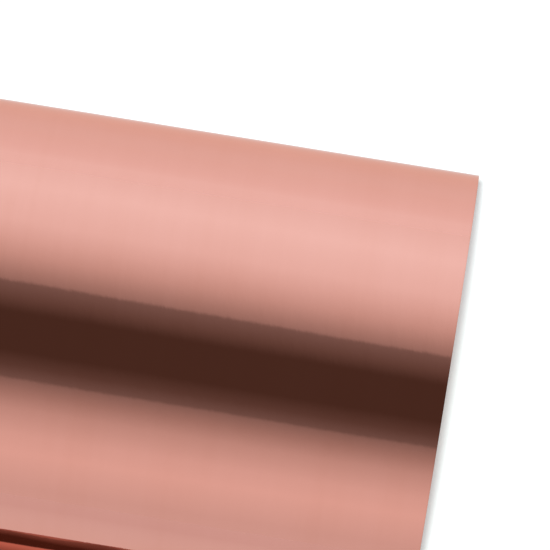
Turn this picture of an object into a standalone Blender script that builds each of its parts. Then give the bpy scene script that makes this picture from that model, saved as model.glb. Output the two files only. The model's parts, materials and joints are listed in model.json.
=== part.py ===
"""A wide roll of adhesive-backed copper foil tape on a paperboard core, lying on its side.

Metres, +Z up. X runs along the roll's axis. The tape comes over the top of the roll, leaves it at
the front (-Y), runs down to the surface that the roll lies on and ends there, where the foil is
lifted off its release liner. The origin is the middle of the footprint, on that surface.
"""

import math

import bmesh
import bpy

# Driving dimensions, in metres
TAPE_WIDTH = 0.1016  # 4 in tape
ROLL_RADIUS = 0.0400  # copper face of the outermost turn
CORE_BORE_RADIUS = 0.0127  # takes a 1 in spindle
CORE_WALL = 0.0028
CORE_RECESS = 0.0005  # the core's ends sit this far inside the tape's edges
GAP = 0.0003  # between layers that touch on the real roll
FOIL_THICKNESS = 0.0004
LINER_THICKNESS = 0.0003
ADHESIVE_THICKNESS = 0.0002
STRIP_THICKNESS = 0.0003  # double-sided strip that holds the first turn on the core
STRIP_ANGLE = math.radians(60)
STRIP_INSET = 0.006  # bare core at each end of the strip
TAIL_BEND_RADIUS = 0.026  # copper face, where the tail turns on to the surface
TAIL_FLAT_RUN = 0.020  # from the bend to the line where the foil parts from the liner
LINER_REACH = 0.036  # bare liner beyond that line
FOIL_END_LENGTH = 0.030
FOIL_END_SLOPE = math.radians(14)  # at the parting line
FOIL_END_CURL = math.radians(30)  # more slope, gained by the tip
ADHESIVE_INSET = 0.006  # first stretch of the lifted foil that carries no separate adhesive solid

# Facets. With a flat facet at the bottom the roll rests on a face and not on an edge.
RING_STEPS = 96
OUTER_TURN_STEPS = 91  # the outer turn stops short of meeting the tail from below
BEND_STEPS = 16
CURL_STEPS = 8

# Derived sizes
STEP_ANGLE = 2 * math.pi / RING_STEPS
AXIS_HEIGHT = ROLL_RADIUS * math.cos(STEP_ANGLE / 2)
CORE_RADIUS = CORE_BORE_RADIUS + CORE_WALL
STRIP_RADIUS = CORE_RADIUS + GAP + STRIP_THICKNESS
PACK_INNER_RADIUS = STRIP_RADIUS + GAP
LINER_DEPTH = FOIL_THICKNESS + GAP  # the liner's upper face, below the copper face
STACK = LINER_DEPTH + LINER_THICKNESS
PACK_OUTER_RADIUS = ROLL_RADIUS - STACK - GAP
DEPARTURE_ANGLE = math.pi - STEP_ANGLE / 2  # from +Y, where the tape leaves the roll

FRONT = -AXIS_HEIGHT - TAIL_BEND_RADIUS - TAIL_FLAT_RUN - LINER_REACH
AXIS_Y = -(FRONT + AXIS_HEIGHT) / 2  # puts the footprint's middle at the origin
ROLL_AXIS = (0.0, AXIS_Y, AXIS_HEIGHT)
DEPARTURE = (0.0, AXIS_Y - AXIS_HEIGHT, AXIS_HEIGHT + ROLL_RADIUS * math.sin(STEP_ANGLE / 2))
PARTING = (0.0, DEPARTURE[1] - TAIL_BEND_RADIUS - TAIL_FLAT_RUN, STACK)

# Base colour, roughness and metallic value of each material
FINISHES = {
    "copper_foil": ((0.93, 0.52, 0.43, 1), 0.22, 1.0),
    "wound_edges": ((0.62, 0.36, 0.27, 1), 0.50, 0.6),
    "release_liner": ((0.64, 0.53, 0.39, 1), 0.45, 0.0),
    "adhesive": ((0.80, 0.62, 0.45, 1), 0.25, 0.0),
    "paperboard": ((0.46, 0.33, 0.21, 1), 0.85, 0.0),
    "starter_strip": ((0.78, 0.74, 0.64, 1), 0.45, 0.0),
}


def clear_scene():
    for old in list(bpy.data.objects):
        bpy.data.objects.remove(old, do_unlink=True)


def finish_material(name, part):
    """The part's own material, with the finish of that name."""
    colour, roughness, metallic = FINISHES[name]
    material = bpy.data.materials.new(f"{part}_{name}")
    material.use_nodes = True
    shader = material.node_tree.nodes["Principled BSDF"]
    shader.inputs["Base Color"].default_value = colour
    shader.inputs["Roughness"].default_value = roughness
    shader.inputs["Metallic"].default_value = metallic
    return material


def pivot(name, location):
    empty = bpy.data.objects.new(name, None)
    empty.location = location
    bpy.context.scene.collection.objects.link(empty)
    return empty


def add_part(name, bm, finish, parent):
    """Links a mesh as a named part whose origin is its parent's place."""
    mesh = bpy.data.meshes.new(name)
    bm.to_mesh(mesh)
    bm.free()
    mesh.shade_smooth()
    mesh.set_sharp_from_angle(angle=math.radians(35))
    part = bpy.data.objects.new(name, mesh)
    mesh.materials.append(finish_material(finish, name))
    part.parent = parent
    bpy.context.scene.collection.objects.link(part)
    return part


def ring(name, inner, outer, width, finish, parent, start=0.0, steps=RING_STEPS):
    """A turned ring about the parent's X axis, or an arc of it that runs back from the start angle."""
    bm = bmesh.new()
    corners = [(-width / 2, inner), (-width / 2, outer), (width / 2, outer), (width / 2, inner)]
    first = [bm.verts.new((x, r * math.cos(start), r * math.sin(start))) for x, r in corners]
    edges = [bm.edges.new((first[i], first[i - 1])) for i in range(len(first))]
    full = steps == RING_STEPS
    turned = bmesh.ops.spin(
        bm,
        geom=first + edges,
        cent=(0, 0, 0),
        axis=(1, 0, 0),
        angle=-steps * STEP_ANGLE,
        steps=steps,
        use_merge=full,
    )
    if full:
        bmesh.ops.remove_doubles(bm, verts=bm.verts, dist=1e-7)
    else:
        last = {v for v in turned["geom_last"] if isinstance(v, bmesh.types.BMVert)}
        bm.faces.new(first)
        bmesh.ops.contextual_create(bm, geom=list(last))
    bmesh.ops.recalc_face_normals(bm, faces=bm.faces)
    return add_part(name, bm, finish, parent)


def sheet(name, path, thickness, width, finish, parent):
    """A strip of that width whose upper face follows the path of (y, z) points, thickened downwards."""
    bm = bmesh.new()
    rows = [[bm.verts.new((x, y, z)) for x in (-width / 2, width / 2)] for y, z in path]
    for (a, b), (c, d) in zip(rows, rows[1:]):
        bm.faces.new((a, c, d, b))
    part = add_part(name, bm, finish, parent)
    solid = part.modifiers.new("thickness", "SOLIDIFY")
    solid.thickness = thickness
    solid.offset = -1
    solid.use_even_offset = True
    return part


def tail_path(depth, flat_end):
    """The tail's line that far below the copper face, seen from the departure point, to a flat end."""
    floor = -DEPARTURE[2]
    bend_z = floor + STACK + TAIL_BEND_RADIUS
    bend_y = -TAIL_BEND_RADIUS
    radius = TAIL_BEND_RADIUS + depth
    points = [(depth, -GAP)]
    for i in range(BEND_STEPS + 1):
        angle = math.pi / 2 * i / BEND_STEPS
        points.append((bend_y + radius * math.cos(angle), bend_z - radius * math.sin(angle)))
    points.append((flat_end, floor + STACK - depth))
    return points


def curl_path(depth, start):
    """The lifted end's line that far below its copper face, from a start distance to its tip."""
    rate = FOIL_END_CURL / FOIL_END_LENGTH
    points = []
    for i in range(CURL_STEPS + 1):
        along = start + (FOIL_END_LENGTH - start) * i / CURL_STEPS
        slope = FOIL_END_SLOPE + rate * along
        y = -(math.sin(slope) - math.sin(FOIL_END_SLOPE)) / rate
        z = (math.cos(FOIL_END_SLOPE) - math.cos(slope)) / rate
        points.append((y - depth * math.sin(slope), z - depth * math.cos(slope)))
    return points


def build_roll():
    """The core, the strip that holds the first turn on it, and the wound tape."""
    axis = pivot("roll_axis", ROLL_AXIS)
    rest = STEP_ANGLE / 2  # turns the facets so that one lies flat at the bottom
    core_length = TAPE_WIDTH - 2 * CORE_RECESS
    strip_length = core_length - 2 * STRIP_INSET
    strip_steps = round(STRIP_ANGLE / STEP_ANGLE)
    ring("core_tube", CORE_BORE_RADIUS, CORE_RADIUS, core_length, "paperboard", axis, rest)
    ring(
        "core_starter_strip",
        CORE_RADIUS + GAP,
        STRIP_RADIUS,
        strip_length,
        "starter_strip",
        axis,
        rest + STRIP_ANGLE,
        strip_steps,
    )
    ring("wound_pack", PACK_INNER_RADIUS, PACK_OUTER_RADIUS, TAPE_WIDTH, "wound_edges", axis, rest)


def build_outer_turn():
    """The last full turn on the roll: copper outside, liner inside."""
    axis = pivot("unwind_axis", ROLL_AXIS)
    foil_inner = ROLL_RADIUS - FOIL_THICKNESS
    liner_outer = ROLL_RADIUS - LINER_DEPTH
    liner_inner = ROLL_RADIUS - STACK
    turn = (axis, DEPARTURE_ANGLE, OUTER_TURN_STEPS)
    ring("foil_outer_turn", foil_inner, ROLL_RADIUS, TAPE_WIDTH, "copper_foil", *turn)
    ring("liner_outer_turn", liner_inner, liner_outer, TAPE_WIDTH, "release_liner", *turn)


def build_tail():
    """The tape from the roll down to the surface, with the liner running on past the foil."""
    axis = pivot("tail_lift_axis", DEPARTURE)
    parting = PARTING[1] - DEPARTURE[1]
    foil = tail_path(0.0, parting)
    liner = tail_path(LINER_DEPTH, parting - LINER_REACH)
    sheet("foil_tail", foil, FOIL_THICKNESS, TAPE_WIDTH, "copper_foil", axis)
    sheet("liner_tail", liner, LINER_THICKNESS, TAPE_WIDTH, "release_liner", axis)


def build_foil_end():
    """The lifted end of the foil, and the adhesive on its back."""
    axis = pivot("foil_peel_axis", PARTING)
    foil = curl_path(0.0, GAP)
    adhesive = curl_path(FOIL_THICKNESS + GAP, ADHESIVE_INSET)
    sheet("foil_end", foil, FOIL_THICKNESS, TAPE_WIDTH, "copper_foil", axis)
    sheet("adhesive_coat", adhesive, ADHESIVE_THICKNESS, TAPE_WIDTH, "adhesive", axis)


clear_scene()
build_roll()
build_outer_turn()
build_tail()
build_foil_end()
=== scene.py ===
"""Looks of a wide copper foil tape roll, seen from above in a white light tent.

Metres, +Z up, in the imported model's frame. X runs along the roll; the tape's end runs out to -Y.
Every place comes from the frame's joints and boxes. The layers here have their real thickness, so
they close the gaps that the CAD solids keep between layers that touch.
"""

import json
import math
import random

import bmesh
import bpy
from mathutils import Matrix, Vector


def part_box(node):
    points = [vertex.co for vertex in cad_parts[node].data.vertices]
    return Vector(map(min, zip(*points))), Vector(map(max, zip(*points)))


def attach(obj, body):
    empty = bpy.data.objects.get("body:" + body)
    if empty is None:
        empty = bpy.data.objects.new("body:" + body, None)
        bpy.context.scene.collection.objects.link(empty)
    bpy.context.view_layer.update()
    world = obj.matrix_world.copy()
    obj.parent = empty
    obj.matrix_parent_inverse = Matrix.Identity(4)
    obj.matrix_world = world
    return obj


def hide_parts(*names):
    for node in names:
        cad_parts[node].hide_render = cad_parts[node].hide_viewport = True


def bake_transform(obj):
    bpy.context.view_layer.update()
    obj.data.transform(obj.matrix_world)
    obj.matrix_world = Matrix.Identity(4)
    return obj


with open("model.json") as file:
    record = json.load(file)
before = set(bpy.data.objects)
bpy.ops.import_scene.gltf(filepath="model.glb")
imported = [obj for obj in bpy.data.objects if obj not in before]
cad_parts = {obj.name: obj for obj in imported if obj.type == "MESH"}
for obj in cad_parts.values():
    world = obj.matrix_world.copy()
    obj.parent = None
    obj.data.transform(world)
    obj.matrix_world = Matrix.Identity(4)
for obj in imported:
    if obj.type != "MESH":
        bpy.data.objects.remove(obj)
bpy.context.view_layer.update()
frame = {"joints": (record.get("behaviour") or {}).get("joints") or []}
JOINTS = {joint["name"]: joint for joint in frame["joints"]}

# Places and sizes of the CAD model
AXIS = Vector(JOINTS["unwind"]["pos_m"])
DEPARTURE = Vector(JOINTS["tail_lift"]["pos_m"])
DEPARTURE_ANGLE = math.atan2(DEPARTURE.z - AXIS.z, DEPARTURE.y - AXIS.y)
PARTING = Vector(JOINTS["foil_peel"]["pos_m"])
HALF_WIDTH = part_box("foil_outer_turn")[1].x
RADIUS = AXIS.z
CORE_HALF_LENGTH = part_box("core_tube")[1].x
CORE_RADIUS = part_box("core_tube")[1].z - AXIS.z
CORE_WALL = 0.0028
BORE_RADIUS = CORE_RADIUS - CORE_WALL
LINER_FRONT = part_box("liner_tail")[0].y
FLOOR = 0.0

# Real thicknesses
FOIL = 0.00006  # copper and its adhesive
ADHESIVE_FILM = 0.00002  # the film that shows on the lifted foil's back
LINER = 0.00007
TRAPPED_AIR = 0.00001
LAYER = FOIL + LINER + TRAPPED_AIR
FACE = FLOOR + FOIL + LINER  # height of the copper face where the tape lies on the floor

# Core
CORE_SEGMENTS = 192
CORE_PLIES = 5
PLY_STEP = 0.00006  # how far a ply's joint is sunk into the core's end
PLY_JOINT = 0.00003  # half the width of that groove, at its bottom
INNER_BREAK = 0.0003
OUTER_BREAK = 0.0001

# Strip between the core and the first turn
STRIP_FACES = (0.00002, 0.00006)  # above the core
STRIP_SPAN = math.radians(60)
STRIP_STEPS = 40

# Wound tape
PACK_INNER = CORE_RADIUS + 0.00008
PACK_OUTER = RADIUS - 0.00030
PACK_SEGMENTS = 160
PACK_TURNS = 72  # each stands for two or three turns of the tape
TURN_SHARE = 0.96  # of the pitch; the rest is the step to the next
TURN_INSET = 0.00008
TURN_SCATTER = 0.00005
TURN_MEMORY = 0.82  # how much of its neighbour's place a turn keeps
INSET_LIMITS = (0.00001, 0.0004)

# Outer turn
TURN_OVERLAP = math.radians(50)  # it runs on this far under the departing tape
TURN_STEPS = 420
TAUT_WAVE = 0.000015  # the most that its face strays

# Drawn-out end
BEND_RADIUS = 0.026
SEAM_Y = PARTING.y + 0.007  # where the tail's foil piece gives way to the lifted end's
CURVE_ROWS = 40  # rows of the straight drop, and again of the bend
DEPARTURE_ROWS = 4
FLAT_ROW = 0.0012
SLACK_START = 0.004  # the tape begins to wave this far from the roll
SLACK_FULL = 0.030  # and waves fully from here on
SLACK_WAVE = 0.00014
SLACK_EDGE_LIFT = 0.00012
LINER_CURL = 0.0016
LINER_CUT_OFFSET = 0.0005
LINER_CUT_SKEW = 0.0004

# Lifted end of the foil
END_LENGTH = 0.030
END_SLOPE = math.radians(14)
END_CURL = math.radians(30)
END_ROWS = 64
END_FLAT_ROWS = 12
END_SLOPE_REACH = 0.005  # the slope builds up over this length
END_WAVE = 0.00035
END_WAVE_REACH = 0.012
END_CUT_SKEW = 0.0005
END_CUT_TREMOR = 0.00006
CORNER_LIFT = 0.0022
FILM_START = 0.0008

# Columns across the tape
FOIL_COLUMNS = 64
TURN_LINER_COLUMNS = 24
TAIL_LINER_COLUMNS = 48
END_COLUMNS = 96

SHARP_ANGLE = math.radians(40)

# Camera: straight above the roll, near its right end, so that the end is seen edge on
LENS_MM = 300
SENSOR_MM = 36
CAMERA_DISTANCE = 0.811
CAMERA_INSET = 0.008
AIM_LEFT = 0.0328
AIM_BACK = 0.0168
ASKEW = math.radians(9.18)

# Lamp overhead
LAMP_POWER = 2.2
LAMP_SPREAD = math.radians(1.6)
LAMP_TILT_RIGHT = math.radians(1.45)
LAMP_TILT_BACK = math.radians(1.6)

# Table
TABLE_HALF_SIZE = 4.0
TABLE_DROP = 0.00005
TABLE_GLOW = 0.345
TABLE_SHADES = ((0.735, 0.84, 0.84, 1), (0.775, 0.88, 0.88, 1))
# The table as copper mirrors it, from in front of the roll to behind it: distance and colour. This is a
# painted reflection: glossy rays see these tones, which are darker than the table seen directly, with
# painted shade that changes with the distance from the roll.
PAINTED_TABLE_REFLECTION = [
    (-0.45, (0.335, 0.262, 0.252, 1)),
    (-0.15, (0.4, 0.352, 0.341, 1)),
    (-0.065, (0.454, 0.444, 0.444, 1)),
    (0.065, (0.500, 0.520, 0.540, 1)),
    (0.09, (0.490, 0.480, 0.490, 1)),
    (0.15, (0.511, 0.457, 0.449, 1)),
    (0.25, (0.54, 0.479, 0.476, 1)),
    (0.45, (0.58, 0.549, 0.555, 1)),
]
MIRROR_SHIFT = 0.5  # brings those distances into a ramp's range

# Light tent: the angle from straight up towards +Y, and the cloth's brightness and warmth there.
# It is open along the roll overhead, where the camera looks in, and its sides are not quite equal.
TENT = [
    (-180, 0.68, 0.30),
    (-95, 0.68, 0.30),
    (-81, 0.68, 0.35),
    (-61, 0.79, 0.38),
    (-51, 0.735, 0.38),
    (-38, 0.565, 0.43),
    (-30, 0.39, 0.52),
    (-23.1, 0.25, 0.52),
    (-22.8, 0.17, 0.55),
    (-17, 0.11, 0.78),
    (-10, 0.068, 1.0),
    (9, 0.068, 1.0),
    (15, 0.13, 0.75),
    (23.2, 0.20, 0.52),
    (23.5, 0.335, 0.50),
    (28, 0.43, 0.47),
    (36, 0.615, 0.40),
    (45, 0.765, 0.28),
    (54, 0.87, 0.16),
    (75, 0.95, 0.04),
    (94, 0.885, 0.12),
    (180, 0.80, 0.12),
]
TENT_SKEW = 0.34  # the tent hangs a little askew to the roll
TENT_TURN = math.radians(1.95)
TENT_FLARE = 0.5
# Its end walls: the height of the view direction, brightness and warmth
TENT_ENDS = [(-0.05, 0.40, 0.45), (0.06, 0.56, 0.35), (0.22, 0.84, 0.10), (0.60, 0.95, 0.0)]
ENDS_SHIFT = 0.1  # brings those heights into a ramp's range
ENDS_BLEND = (0.70, 0.93)  # how far along the roll a view looks where side walls turn into end walls
AMBIENT = (0.258, 0.27, 0.282, 1)
BACKDROP = (1.05, 1.05, 1.05, 1)

# Colours
BLACK = (0, 0, 0, 1)
WHITE = (1, 1, 1, 1)
COPPER = (0.93, 0.50, 0.43, 1)
COPPER_DULL = (0.86, 0.43, 0.35, 1)
COPPER_CUT = (0.72, 0.38, 0.30, 1)
COPPER_GLANCING = (0.90, 0.66, 0.57, 1)
KRAFT_DARK = (0.52, 0.41, 0.28, 1)
KRAFT_LIGHT = (0.74, 0.63, 0.48, 1)
GLUE_DARK = (0.70, 0.38, 0.27, 1)
GLUE_LIGHT = (0.78, 0.46, 0.34, 1)
EDGE_COPPER = (0.90, 0.49, 0.38, 1)
EDGE_COPPER_DULL = (0.64, 0.31, 0.22, 1)
EDGE_PAPER_DARK = (0.30, 0.21, 0.14, 1)
EDGE_PAPER_LIGHT = (0.58, 0.45, 0.32, 1)
# painted shade for the grooves on the roll's ends
EDGE_GROOVE_SHADE = (0.10, 0.05, 0.035, 1)
BOARD_DARK = (0.27, 0.19, 0.12, 1)
BOARD_LIGHT = (0.52, 0.40, 0.28, 1)
BOARD_SPECK = (0.12, 0.08, 0.05, 1)
BOARD_SEAM = (0.10, 0.07, 0.05, 1)
CREAM_DARK = (0.66, 0.60, 0.46, 1)
CREAM_LIGHT = (0.82, 0.77, 0.64, 1)

# Sizes in the materials
CUT_BAND = 0.00025  # middling reach of the dulled band at the tape's slit edges
ROLLING_DEPTH = 0.0000008
PEEL_DEPTH = 0.000012
FIBRE_DEPTH = 0.000012
PEBBLE_DEPTH = 0.000015
TURN_DEPTH = 0.00004
TURN_DRIFT = 0.00035  # how far the lines on the roll's ends stray from circles
BOARD_DEPTH = 0.00012
SEAM_PITCH = 0.055  # along the core, for one turn of its spiral seam
SEAM_SKIN = 0.0004  # the seam shows this deep into the bore's wall
CREPE_DEPTH = 0.00003

# ---------------------------------------------------------------- node helpers


def new_material(name):
    material = bpy.data.materials.new(name)
    material.use_nodes = True
    return material, material.node_tree, material.node_tree.nodes["Principled BSDF"]


def set_values(node, **values):
    """Sets sockets by name, with underscores for spaces."""
    for name, value in values.items():
        node.inputs[name.replace("_", " ")].default_value = value
    return node


def add(tree, kind, **settings):
    node = tree.nodes.new(kind)
    for name, value in settings.items():
        setattr(node, name, value)
    return node


def feed(tree, socket, value):
    """Links a socket, or sets a number or colour, on an input."""
    if isinstance(value, bpy.types.NodeSocket):
        tree.links.new(value, socket)
    else:
        socket.default_value = value


def maths(tree, operation, a, b=None, clamp=False):
    """A Math node on sockets or numbers, as its output."""
    node = add(tree, "ShaderNodeMath", operation=operation, use_clamp=clamp)
    feed(tree, node.inputs[0], a)
    if b is not None:
        feed(tree, node.inputs[1], b)
    return node.outputs[0]


def weighted(tree, a, b, share):
    """A share of a and the rest of b, added."""
    return maths(tree, "ADD", maths(tree, "MULTIPLY", a, share), maths(tree, "MULTIPLY", b, 1 - share))


def separated(tree, kind="Object"):
    """The x, y and z of a kind of texture coordinates."""
    coordinates = add(tree, "ShaderNodeTexCoord")
    parts = add(tree, "ShaderNodeSeparateXYZ")
    tree.links.new(coordinates.outputs[kind], parts.inputs[0])
    return parts.outputs


def axis_distance(tree, y, z):
    """Distance from the X axis through the object's origin."""
    square = maths(tree, "ADD", maths(tree, "MULTIPLY", y, y), maths(tree, "MULTIPLY", z, z))
    return maths(tree, "SQRT", square)


def placed(tree, scale):
    """Object coordinates in metres, scaled along each axis."""
    coordinates = add(tree, "ShaderNodeTexCoord")
    mapping = add(tree, "ShaderNodeMapping")
    mapping.inputs["Scale"].default_value = scale
    tree.links.new(coordinates.outputs["Object"], mapping.inputs["Vector"])
    return mapping.outputs["Vector"]


def noise(tree, scale, detail=4.0, roughness=0.55, distortion=0.0):
    """Noise with so many features per metre along each axis."""
    node = add(tree, "ShaderNodeTexNoise")
    set_values(node, Scale=1.0, Detail=detail, Roughness=roughness, Distortion=distortion)
    tree.links.new(placed(tree, scale), node.inputs["Vector"])
    return node.outputs["Fac"]


def line_noise(tree, along, scale, detail, roughness):
    """Noise that changes with one value only."""
    node = add(tree, "ShaderNodeTexNoise", noise_dimensions="1D")
    set_values(node, Scale=scale, Detail=detail, Roughness=roughness)
    tree.links.new(along, node.inputs["W"])
    return node.outputs["Fac"]


def between(tree, value, low, high):
    """Value from 0 to 1 turned into low to high."""
    node = add(tree, "ShaderNodeMapRange")
    set_values(node, To_Min=low, To_Max=high)
    tree.links.new(value, node.inputs["Value"])
    return node.outputs["Result"]


def ramp(tree, value, stops, interpolation="LINEAR"):
    """A colour ramp of (position, colour) stops."""
    node = add(tree, "ShaderNodeValToRGB")
    node.color_ramp.interpolation = interpolation
    elements = node.color_ramp.elements
    while len(elements) > 1:
        elements.remove(elements[-1])
    elements[0].position, elements[0].color = stops[0]
    for position, colour in stops[1:]:
        elements.new(position).color = colour
    tree.links.new(value, node.inputs["Fac"])
    return node.outputs["Color"]


def mask(tree, value, low, high, interpolation="LINEAR"):
    """0 up to low and 1 from high on."""
    return ramp(tree, value, [(low, BLACK), (high, WHITE)], interpolation)


def mixed(tree, factor, a, b):
    """Colours a and b mixed by a factor socket."""
    node = add(tree, "ShaderNodeMix", data_type="RGBA")
    for socket, value in ((node.inputs[0], factor), (node.inputs[6], a), (node.inputs[7], b)):
        feed(tree, socket, value)
    return node.outputs[2]


def bump(tree, shader, height, distance, normal=None):
    """Gives the shader a bumped normal, on top of another one if that is given."""
    node = add(tree, "ShaderNodeBump")
    set_values(node, Strength=1.0, Distance=distance)
    tree.links.new(height, node.inputs["Height"])
    if normal is not None:
        tree.links.new(normal, node.inputs["Normal"])
    tree.links.new(node.outputs["Normal"], shader.inputs["Normal"])
    return node.outputs["Normal"]


# ---------------------------------------------------------------- materials


def slit_edges(tree):
    """1 at the tape's two slit edges, fading to 0 an uneven distance inside them."""
    x = separated(tree)["X"]
    inside = maths(tree, "SUBTRACT", HALF_WIDTH, maths(tree, "ABSOLUTE", x))
    uneven = between(tree, noise(tree, (900, 900, 900), detail=3), 0.5, 1.5)
    reach = maths(tree, "MULTIPLY", uneven, CUT_BAND)
    return maths(tree, "SUBTRACT", 1.0, maths(tree, "DIVIDE", inside, reach), clamp=True)


def copper_foil():
    """Bright rolled copper: fine rolling lines along the tape, faint clouds of tarnish and edges
    that the slitting knife has dulled."""
    material, tree, shader = new_material("copper_foil")
    lines = noise(tree, (2600, 14, 14), detail=6, roughness=0.7)
    broad = noise(tree, (260, 5, 5), detail=3)
    clouds = noise(tree, (60, 32, 32), detail=5, roughness=0.6, distortion=0.4)
    tarnish = between(tree, maths(tree, "MULTIPLY", clouds, broad), 0.0, 0.9)
    cut = slit_edges(tree)
    surface = mixed(tree, tarnish, COPPER, COPPER_DULL)
    colour = mixed(tree, maths(tree, "MULTIPLY", cut, 0.5), surface, COPPER_CUT)
    tree.links.new(colour, shader.inputs["Base Color"])
    rolled_roughness = between(tree, weighted(tree, lines, clouds, 0.6), 0.035, 0.066)
    roughness = maths(tree, "ADD", rolled_roughness, maths(tree, "MULTIPLY", cut, 0.12))
    tree.links.new(roughness, shader.inputs["Roughness"])
    peel = noise(tree, (360, 150, 150))
    rolled = bump(tree, shader, lines, ROLLING_DEPTH)
    bump(tree, shader, peel, PEEL_DEPTH, normal=rolled)
    across = add(tree, "ShaderNodeCombineXYZ")
    across.inputs["X"].default_value = 1.0
    tree.links.new(across.outputs["Vector"], shader.inputs["Tangent"])
    set_values(shader, Metallic=1.0, Anisotropic=0.85, Specular_Tint=COPPER_GLANCING)
    return material


def release_liner():
    """Siliconed kraft paper: matte fibre under a thin even gloss."""
    material, tree, shader = new_material("release_liner")
    fibres = noise(tree, (900, 2600, 2600), detail=6, roughness=0.7)
    clouds = noise(tree, (120, 120, 120), detail=5)
    blend = weighted(tree, fibres, clouds, 0.55)
    colour = ramp(tree, blend, [(0.36, KRAFT_DARK), (0.64, KRAFT_LIGHT)])
    tree.links.new(colour, shader.inputs["Base Color"])
    tree.links.new(between(tree, clouds, 0.34, 0.52), shader.inputs["Roughness"])
    bump(tree, shader, fibres, FIBRE_DEPTH)
    set_values(shader, Specular_IOR_Level=0.45, Coat_Weight=0.15, Coat_Roughness=0.3)
    return material


def adhesive():
    """Acrylic adhesive on the foil's back: dulled copper under a wet, faintly pebbled film."""
    material, tree, shader = new_material("adhesive")
    pebbles = noise(tree, (1400, 1400, 1400), roughness=0.6)
    streaks = noise(tree, (320, 90, 90), detail=5)
    colour = ramp(tree, streaks, [(0.3, GLUE_DARK), (0.7, GLUE_LIGHT)])
    tree.links.new(colour, shader.inputs["Base Color"])
    tree.links.new(between(tree, pebbles, 0.30, 0.46), shader.inputs["Roughness"])
    bump(tree, shader, pebbles, PEBBLE_DEPTH)
    set_values(shader, Metallic=0.8, Coat_Weight=0.7, Coat_Roughness=0.12)
    return material


def wound_edges():
    """The tape's cut edges on the roll's ends: copper and paper lines that follow the turns, with painted
    shade in the grooves among them.
    """
    material, tree, shader = new_material("wound_edges")
    _, y, z = separated(tree)
    drift = noise(tree, (40, 40, 40), detail=2)
    along = maths(tree, "ADD", axis_distance(tree, y, z), maths(tree, "MULTIPLY", drift, TURN_DRIFT))
    lines = line_noise(tree, along, 4200.0, 5.0, 0.75)
    groups = line_noise(tree, along, 900.0, 4.0, 0.65)
    grit = noise(tree, (2500, 2500, 2500), detail=3)
    share = weighted(tree, lines, groups, 0.80)
    paper = mask(tree, share, 0.455, 0.575)
    metal = mixed(tree, mask(tree, groups, 0.38, 0.62), EDGE_COPPER, EDGE_COPPER_DULL)
    fibre = mixed(tree, grit, EDGE_PAPER_DARK, EDGE_PAPER_LIGHT)
    layers = mixed(tree, paper, metal, fibre)
    # Painted shade: near-black mixed into the lowest lines, which the bump also sinks deepest.
    groove_shade = ramp(tree, lines, [(0.34, WHITE), (0.42, BLACK)])
    groove_shaded = mixed(tree, maths(tree, "MULTIPLY", groove_shade, 0.7), layers, EDGE_GROOVE_SHADE)
    tree.links.new(groove_shaded, shader.inputs["Base Color"])
    tree.links.new(between(tree, paper, 0.95, 0.0), shader.inputs["Metallic"])
    tree.links.new(between(tree, paper, 0.24, 0.75), shader.inputs["Roughness"])
    relief = maths(tree, "ADD", share, maths(tree, "MULTIPLY", grit, 0.2))
    bump(tree, shader, relief, TURN_DEPTH)
    outwards = add(tree, "ShaderNodeCombineXYZ")
    tree.links.new(y, outwards.inputs["Y"])
    tree.links.new(z, outwards.inputs["Z"])
    tree.links.new(outwards.outputs["Vector"], shader.inputs["Tangent"])
    shader.inputs["Anisotropic"].default_value = 0.75
    return material


def paperboard():
    """Spiral-wound grey-brown board: fibres and specks, and in the bore the seam of the winding."""
    material, tree, shader = new_material("paperboard")
    x, y, z = separated(tree)
    fibres = noise(tree, (700, 1500, 1500), detail=7, roughness=0.7)
    specks = noise(tree, (2400, 2400, 2400), detail=2)
    clouds = noise(tree, (150, 150, 150))
    blend = weighted(tree, fibres, clouds, 0.6)
    board = ramp(tree, blend, [(0.30, BOARD_DARK), (0.72, BOARD_LIGHT)])
    dark = mask(tree, specks, 0.66, 0.74)
    speckled = mixed(tree, maths(tree, "MULTIPLY", dark, 0.5), board, BOARD_SPECK)
    turns = maths(tree, "DIVIDE", maths(tree, "ARCTAN2", z, y), 2 * math.pi)
    wind = maths(tree, "FRACT", maths(tree, "ADD", turns, maths(tree, "MULTIPLY", x, 1 / SEAM_PITCH)))
    off_seam = maths(tree, "ABSOLUTE", maths(tree, "SUBTRACT", wind, 0.5))
    in_bore = maths(tree, "LESS_THAN", axis_distance(tree, y, z), BORE_RADIUS + SEAM_SKIN)
    seam = maths(tree, "MULTIPLY", mask(tree, off_seam, 0.484, 0.497), in_bore)
    shaded = mixed(tree, maths(tree, "MULTIPLY", seam, 0.6), speckled, BOARD_SEAM)
    tree.links.new(shaded, shader.inputs["Base Color"])
    tree.links.new(between(tree, clouds, 0.78, 0.95), shader.inputs["Roughness"])
    grooves = maths(tree, "SUBTRACT", maths(tree, "MULTIPLY", fibres, 0.25), seam)
    bump(tree, shader, grooves, BOARD_DEPTH)
    set_values(shader, Specular_IOR_Level=0.25, Sheen_Weight=0.08, Sheen_Roughness=0.6)
    return material


def starter_strip():
    """Cream double-sided tape."""
    material, tree, shader = new_material("starter_strip")
    crepe = noise(tree, (1800, 300, 300))
    colour = ramp(tree, crepe, [(0.3, CREAM_DARK), (0.7, CREAM_LIGHT)])
    tree.links.new(colour, shader.inputs["Base Color"])
    tree.links.new(between(tree, crepe, 0.35, 0.55), shader.inputs["Roughness"])
    bump(tree, shader, crepe, CREPE_DEPTH)
    return material


# ---------------------------------------------------------------- mesh helpers


def ease(value, low, high):
    """0 below low, 1 above high and smooth between them."""
    t = min(max((value - low) / (high - low), 0.0), 1.0)
    return t * t * (3 - 2 * t)


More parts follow.
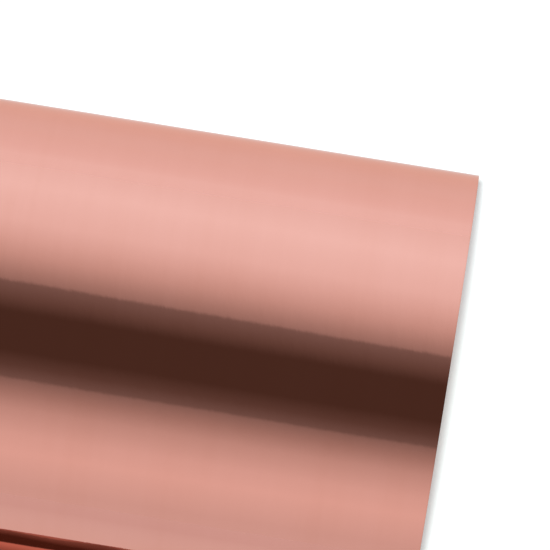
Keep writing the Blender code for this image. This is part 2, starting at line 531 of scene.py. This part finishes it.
def add_piece(name, bm, material, origin=(0, 0, 0)):
    """Links a mesh, whose points are given round origin, as a piece."""
    bmesh.ops.recalc_face_normals(bm, faces=bm.faces)
    mesh = bpy.data.meshes.new(name)
    bm.to_mesh(mesh)
    bm.free()
    mesh.shade_smooth()
    mesh.set_sharp_from_angle(angle=SHARP_ANGLE)
    mesh.materials.append(material)
    piece = bpy.data.objects.new(name, mesh)
    piece.location = origin
    bpy.context.scene.collection.objects.link(piece)
    return piece


def lathe(name, profile, segments, material):
    """A closed profile of (x, radius) points turned about the roll's axis."""
    bm = bmesh.new()
    rings = []
    for i in range(segments):
        angle = 2 * math.pi * i / segments
        c, s = math.cos(angle), math.sin(angle)
        rings.append([bm.verts.new((x, r * c, r * s)) for x, r in profile])
    for ring, following in zip(rings, rings[1:] + rings[:1]):
        for j in range(len(profile)):
            bm.faces.new((ring[j], ring[j - 1], following[j - 1], following[j]))
    return add_piece(name, bm, material, AXIS)


def sheet(name, path, depth, thickness, columns, material, slot, shape):
    """A thin closed sheet. path holds ((y, z), (ny, nz), s): a point of the copper face, the way that
    the face looks, and the distance along the tape. The sheet lies from depth to depth + thickness
    under that line, and shape(x, s) gives how far its place is moved (out, along)."""
    bm = bmesh.new()
    layers = ([], [])
    for (y, z), (ny, nz), s in path:
        for layer, under in zip(layers, (depth, depth + thickness)):
            row = []
            for i in range(columns + 1):
                x = HALF_WIDTH * (2 * i / columns - 1)
                out, along = shape(x, s)
                lift = out - under
                row.append(bm.verts.new((x, y + ny * lift - nz * along, z + nz * lift + ny * along)))
            layer.append(row)
    top, bottom = layers
    for rows in (top, bottom):
        for row, following in zip(rows, rows[1:]):
            for i in range(columns):
                bm.faces.new((row[i], row[i + 1], following[i + 1], following[i]))
    for a, b, c, d in zip(top, top[1:], bottom, bottom[1:]):
        for i in (0, columns):
            bm.faces.new((a[i], b[i], d[i], c[i]))
    for upper, lower in ((top[0], bottom[0]), (top[-1], bottom[-1])):
        for i in range(columns):
            bm.faces.new((upper[i], upper[i + 1], lower[i + 1], lower[i]))
    return add_piece(name, bm, material)


def ripples(seed, waves, shortest, longest):
    """A smooth random function of (x, s), from -1 to 1, made of a few sine waves."""
    chance = random.Random(seed)
    terms = []
    for _ in range(waves):
        length = chance.uniform(shortest, longest)
        turn = chance.uniform(0, 2 * math.pi)
        terms.append((math.cos(turn) / length, math.sin(turn) / length, chance.uniform(0, 2 * math.pi)))

    def height(x, s):
        return sum(math.sin(2 * math.pi * (a * x + b * s) + c) for a, b, c in terms) / waves

    return height


TAUT_RIPPLES = ripples(3, 9, 0.018, 0.060)
SLACK_RIPPLES = ripples(5, 7, 0.022, 0.060)
END_RIPPLES = ripples(7, 6, 0.016, 0.045)


# ---------------------------------------------------------------- the tape's line


def turn_path():
    """The outermost turn, from where the tape leaves the roll back round it, and on under itself."""
    sweep = 2 * math.pi + TURN_OVERLAP
    path = []
    for i in range(TURN_STEPS + 1):
        turned = sweep * i / TURN_STEPS
        angle = DEPARTURE_ANGLE - turned
        radius = RADIUS - LAYER * turned / (2 * math.pi)
        normal = (math.cos(angle), math.sin(angle))
        path.append(((AXIS.y + radius * normal[0], AXIS.z + radius * normal[1]), normal, -turned * RADIUS))
    return path


def tail_path(front):
    """From the departure point down the roll's front, round the bend and along the floor to front."""
    y = AXIS.y - RADIUS
    bend_z = FACE + BEND_RADIUS
    path = []
    to_front = math.pi - DEPARTURE_ANGLE
    for i in range(DEPARTURE_ROWS):
        turned = to_front * i / DEPARTURE_ROWS
        normal = (math.cos(DEPARTURE_ANGLE + turned), math.sin(DEPARTURE_ANGLE + turned))
        point = (AXIS.y + RADIUS * normal[0], AXIS.z + RADIUS * normal[1])
        path.append((point, normal, RADIUS * turned))
    s = RADIUS * to_front
    drop = AXIS.z - bend_z
    for i in range(CURVE_ROWS):
        fallen = drop * i / CURVE_ROWS
        path.append(((y, AXIS.z - fallen), (-1.0, 0.0), s + fallen))
    s += drop
    for i in range(CURVE_ROWS):
        angle = math.pi / 2 * i / CURVE_ROWS
        normal = (-math.cos(angle), math.sin(angle))
        point = (y - BEND_RADIUS - BEND_RADIUS * normal[0], bend_z - BEND_RADIUS * normal[1])
        path.append((point, normal, s + BEND_RADIUS * angle))
    s += BEND_RADIUS * math.pi / 2
    run = y - BEND_RADIUS - front
    rows = max(2, round(run / FLAT_ROW))
    for i in range(rows + 1):
        along = run * i / rows
        path.append(((y - BEND_RADIUS - along, FACE), (0.0, 1.0), s + along))
    return path


def flat_end_path():
    """The last stretch before the parting line, which belongs to the lifted end's piece."""
    flat = SEAM_Y - PARTING.y
    path = []
    for i in range(END_FLAT_ROWS):
        share = i / END_FLAT_ROWS
        path.append(((SEAM_Y - flat * i / END_FLAT_ROWS, FACE), (0.0, 1.0), -flat * (1 - share)))
    return path


def lifted_end_path(start):
    """The foil past the parting line, lifting off the liner in a curl, from a distance start on."""
    path = []
    y, z = PARTING.y, FACE
    step = END_LENGTH / END_ROWS
    for i in range(END_ROWS + 1):
        s = step * i
        slope = END_SLOPE * ease(s, 0, END_SLOPE_REACH) + END_CURL * s / END_LENGTH
        if s >= start:
            path.append(((y, z), (math.sin(slope), math.cos(slope)), s))
        y -= step * math.cos(slope)
        z += step * math.sin(slope)
    return path


def tail_length(front):
    """Distance along the tape from the departure point to front."""
    return tail_path(front)[-1][2]


PARTING_S = tail_length(PARTING.y)
LINER_REACH = tail_length(LINER_FRONT) - PARTING_S


# ---------------------------------------------------------------- how the tape strays from its line


def taut(x, s):
    """The outer turn is wound tight, so its face hardly strays."""
    return TAUT_WAVE * TAUT_RIPPLES(x, s), 0.0


def slack_height(x, s):
    """The drawn-out tape waves slightly, more the further it is from the roll."""
    free = ease(s, SLACK_START, SLACK_FULL)
    wave = SLACK_WAVE * (1 + SLACK_RIPPLES(x, s))
    edges = SLACK_EDGE_LIFT * ease(abs(x), HALF_WIDTH * 0.80, HALF_WIDTH)
    return free * (wave + edges) + taut(x, s)[0]


def slack(x, s):
    """The drawn-out tape moves only out of its face, not along it."""
    return slack_height(x, s), 0.0


def liner_shape(x, s):
    """The bare liner settles on the floor, curls up at its front and is cut a little askew."""
    past = s - PARTING_S
    settled = slack_height(x, s) * (1 - 0.4 * ease(past, 0, LINER_REACH))
    curl = LINER_CURL * ease(past, LINER_REACH * 0.55, LINER_REACH) ** 2
    cut = LINER_CUT_SKEW * x / HALF_WIDTH - LINER_CUT_OFFSET
    return settled + curl, cut * ease(past, LINER_REACH * 0.8, LINER_REACH)


def end_shape(x, s):
    """The lifted end: one corner has been picked up by a nail, and the cut is a little askew."""
    lifted = ease(s, 0.0, END_WAVE_REACH)
    out = slack_height(x, s + PARTING_S) * (1 - 0.5 * lifted)
    wave = END_WAVE * END_RIPPLES(x, s) * lifted
    corner = ease(x, HALF_WIDTH * 0.35, HALF_WIDTH) * ease(s, END_LENGTH * 0.35, END_LENGTH)
    cut = END_CUT_SKEW * x / HALF_WIDTH + END_CUT_TREMOR * math.sin(900 * x)
    return out + wave + CORNER_LIFT * corner**2, cut * ease(s, END_LENGTH * 0.7, END_LENGTH)


# ---------------------------------------------------------------- pieces


def build_core(material):
    """The core tube, with its plies stepped a little at both ends and its inner edge broken."""
    chance = random.Random(11)
    right = [(CORE_HALF_LENGTH - INNER_BREAK, BORE_RADIUS), (CORE_HALF_LENGTH, BORE_RADIUS + INNER_BREAK)]
    for ply in range(1, CORE_PLIES):
        radius = BORE_RADIUS + CORE_WALL * ply / CORE_PLIES
        low = CORE_HALF_LENGTH - PLY_STEP * chance.uniform(0.5, 1.5)
        right += [
            (CORE_HALF_LENGTH, radius - 2 * PLY_JOINT),
            (low, radius - PLY_JOINT),
            (low, radius + PLY_JOINT),
            (CORE_HALF_LENGTH, radius + 2 * PLY_JOINT),
        ]
    right += [(CORE_HALF_LENGTH, CORE_RADIUS - OUTER_BREAK), (CORE_HALF_LENGTH - OUTER_BREAK, CORE_RADIUS)]
    left = [(-x, r) for x, r in reversed(right)]
    core = lathe("paper_core", right + left, CORE_SEGMENTS, material)
    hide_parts("core_tube")
    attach(core, "roll")


def build_starter_strip(material):
    """The strip between the core and the first turn, hidden by both."""
    low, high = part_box("core_starter_strip")
    centre = (low + high) / 2 - AXIS
    middle = math.atan2(centre.z, centre.y)
    bm = bmesh.new()
    rows = []
    for i in range(STRIP_STEPS + 1):
        angle = middle + STRIP_SPAN * (i / STRIP_STEPS - 0.5)
        c, s = math.cos(angle), math.sin(angle)
        radii = [CORE_RADIUS + height for height in STRIP_FACES]
        rows.append([bm.verts.new((x, r * c, r * s)) for r in radii for x in (-high.x, high.x)])
    for (a, b, c, d), (e, f, g, h) in zip(rows, rows[1:]):
        for face in ((a, b, f, e), (c, g, h, d), (a, e, g, c), (b, d, h, f)):
            bm.faces.new(face)
    for a, b, c, d in (rows[0], rows[-1]):
        bm.faces.new((a, b, d, c))
    strip = add_piece("first_turn_strip", bm, material, AXIS)
    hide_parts("core_starter_strip")
    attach(strip, "roll")


def pack_end(seed):
    """One end face of the wound tape: its turns stand a little in or out of line."""
    chance = random.Random(seed)
    pitch = (PACK_OUTER - PACK_INNER) / PACK_TURNS
    wander, points = 0.0, []
    for turn in range(PACK_TURNS):
        wander = TURN_MEMORY * wander + chance.uniform(-TURN_SCATTER, TURN_SCATTER)
        inset = TURN_INSET + wander + chance.uniform(0, TURN_SCATTER)
        x = HALF_WIDTH - min(max(inset, INSET_LIMITS[0]), INSET_LIMITS[1])
        radius = PACK_INNER + pitch * turn
        points += [(x, radius), (x, radius + pitch * TURN_SHARE)]
    return points


def build_pack(material):
    """The wound tape under the outer turn."""
    right = pack_end(21)
    left = [(-x, r) for x, r in reversed(pack_end(22))]
    pack = lathe("wound_tape", right + left, PACK_SEGMENTS, material)
    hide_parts("wound_pack")
    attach(pack, "roll")


def build_outer_turn(foil, paper):
    """The last full turn on the roll: copper outside, liner inside."""
    turn = turn_path()
    copper = sheet("foil_turn", turn, 0.0, FOIL, FOIL_COLUMNS, foil, "copper_foil", taut)
    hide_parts("foil_outer_turn")
    liner = sheet("liner_turn", turn, FOIL, LINER, TURN_LINER_COLUMNS, paper, "release_liner", taut)
    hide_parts("liner_outer_turn")
    for piece in (copper, liner):
        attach(piece, "outer_turn")


def build_tail(foil, paper):
    """The tail bends where it leaves the roll, over its straight stretch."""
    line = tail_path(SEAM_Y)
    copper = sheet("foil_tail_sheet", line, 0.0, FOIL, FOIL_COLUMNS, foil, "copper_foil", slack)
    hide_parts("foil_tail")
    line = tail_path(LINER_FRONT)
    layer = (FOIL, LINER, TAIL_LINER_COLUMNS)
    liner = sheet("liner_tail_sheet", line, *layer, paper, "release_liner", liner_shape)
    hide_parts("liner_tail")
    for piece in (copper, liner):
        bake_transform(piece)


def build_foil_end(foil, glue):
    """The lifted end of the foil, with the adhesive on its back."""
    line = flat_end_path() + lifted_end_path(0.0)
    copper = sheet("foil_end_sheet", line, 0.0, FOIL, END_COLUMNS, foil, "copper_foil", end_shape)
    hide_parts("foil_end")
    line = lifted_end_path(FILM_START)
    film = sheet("adhesive_film", line, FOIL, ADHESIVE_FILM, END_COLUMNS, glue, "adhesive", end_shape)
    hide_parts("adhesive_coat")
    for piece in (copper, film):
        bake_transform(piece)


# ---------------------------------------------------------------- light, floor and camera


def tent_colour(brightness, warmth):
    """From slightly cool white cloth to cloth that only the copper lights."""
    return (brightness, brightness * (1.03 - 0.41 * warmth), brightness * (1.06 - 0.60 * warmth), 1)


def build_world():
    """The light tent for reflections, an even light for matte surfaces and white behind it all."""
    world = bpy.data.worlds.new("light_tent")
    world.use_nodes = True
    bpy.context.scene.world = world
    tree = world.node_tree
    x, y, z = separated(tree, "Generated")
    turned = maths(tree, "ADD", maths(tree, "MULTIPLY", x, TENT_SKEW), TENT_TURN)
    angle = maths(tree, "ADD", maths(tree, "ARCTAN2", y, z), turned)
    flare = maths(tree, "SUBTRACT", 1.0, maths(tree, "MULTIPLY", x, TENT_FLARE))
    stretched = maths(tree, "DIVIDE", angle, flare)
    place = maths(tree, "ADD", maths(tree, "DIVIDE", stretched, 2 * math.pi), 0.5)
    sides = ramp(tree, place, [(a / 360 + 0.5, tent_colour(b, w)) for a, b, w in TENT])
    height = maths(tree, "ADD", z, ENDS_SHIFT)
    ends = ramp(tree, height, [(a + ENDS_SHIFT, tent_colour(b, w)) for a, b, w in TENT_ENDS])
    near_end = mask(tree, maths(tree, "ABSOLUTE", x), *ENDS_BLEND, "EASE")
    walls = mixed(tree, near_end, sides, ends)
    rays = add(tree, "ShaderNodeLightPath")
    lit = mixed(tree, rays.outputs["Is Diffuse Ray"], walls, AMBIENT)
    seen = mixed(tree, rays.outputs["Is Camera Ray"], lit, BACKDROP)
    tree.links.new(seen, tree.nodes["Background"].inputs["Color"])


def table_material():
    """Pale frosted glass that scatters light and glows a little. Copper mirrors a painted reflection of it
    instead: darker tones, with painted shade that changes with the distance from the roll.
    """
    material, tree, shader = new_material("light_table")
    grain = noise(tree, (60, 60, 60), detail=3)
    direct = ramp(tree, grain, [(0, TABLE_SHADES[0]), (1, TABLE_SHADES[1])])
    # Glossy rays see a painted reflection: darker table tones, with painted shade that changes with the
    # distance from the roll.
    behind = maths(tree, "SUBTRACT", separated(tree)["Y"], AXIS.y - MIRROR_SHIFT)
    painted_reflection = ramp(tree, behind, [(MIRROR_SHIFT + y, colour) for y, colour in PAINTED_TABLE_REFLECTION])
    rays = add(tree, "ShaderNodeLightPath")
    seen = mixed(tree, rays.outputs["Is Glossy Ray"], direct, painted_reflection)
    tree.links.new(seen, shader.inputs["Base Color"])
    set_values(shader, Roughness=0.9, Specular_IOR_Level=0.1)
    set_values(shader, Emission_Color=WHITE, Emission_Strength=TABLE_GLOW)
    return material


def build_floor():
    """A pale light table."""
    bm = bmesh.new()
    bmesh.ops.create_grid(bm, x_segments=8, y_segments=8, size=TABLE_HALF_SIZE)
    mesh = bpy.data.meshes.new("table_top")
    bm.to_mesh(mesh)
    bm.free()
    mesh.materials.append(table_material())
    floor = bpy.data.objects.new("table_top", mesh)
    floor.location = (0, 0, FLOOR - TABLE_DROP)
    bpy.context.scene.collection.objects.link(floor)


def build_sun():
    """A lamp overhead, slightly to the left and front: its shadow shows as a thin line at the right."""
    data = bpy.data.lights.new("overhead_lamp", "SUN")
    data.energy = LAMP_POWER
    data.angle = LAMP_SPREAD
    lamp = bpy.data.objects.new("overhead_lamp", data)
    towards = Vector((math.tan(LAMP_TILT_RIGHT), math.tan(LAMP_TILT_BACK), -1))
    lamp.rotation_mode = "QUATERNION"
    lamp.rotation_quaternion = towards.to_track_quat("-Z", "Y")
    lamp.visible_glossy = False
    bpy.context.scene.collection.objects.link(lamp)


def build_camera():
    """Looks down on the roll from above its right end, turned askew to its axis."""
    data = bpy.data.cameras.new("camera")
    data.lens = LENS_MM
    data.sensor_width = SENSOR_MM
    data.clip_start = 0.01
    data.clip_end = 50
    camera = bpy.data.objects.new("camera", data)
    place = Vector((HALF_WIDTH - CAMERA_INSET, AXIS.y, AXIS.z + CAMERA_DISTANCE))
    aim = Vector((HALF_WIDTH - AIM_LEFT, AXIS.y + AIM_BACK, AXIS.z))
    back = (place - aim).normalized()
    along = (Vector((1, 0, 0)) - back * back.x).normalized()
    across = back.cross(along)
    right = along * math.cos(ASKEW) + across * math.sin(ASKEW)
    up = across * math.cos(ASKEW) - along * math.sin(ASKEW)
    turn = Matrix((right, up, back)).transposed()
    camera.matrix_world = Matrix.Translation(place) @ turn.to_4x4()
    bpy.context.scene.collection.objects.link(camera)
    bpy.context.scene.camera = camera
    bpy.context.scene.view_settings.view_transform = "Standard"


build_camera()
build_world()
build_sun()
build_floor()
foil_material = copper_foil()
paper_material = release_liner()
build_core(paperboard())
build_starter_strip(starter_strip())
build_pack(wound_edges())
build_outer_turn(foil_material, paper_material)
build_tail(foil_material, paper_material)
build_foil_end(foil_material, adhesive())
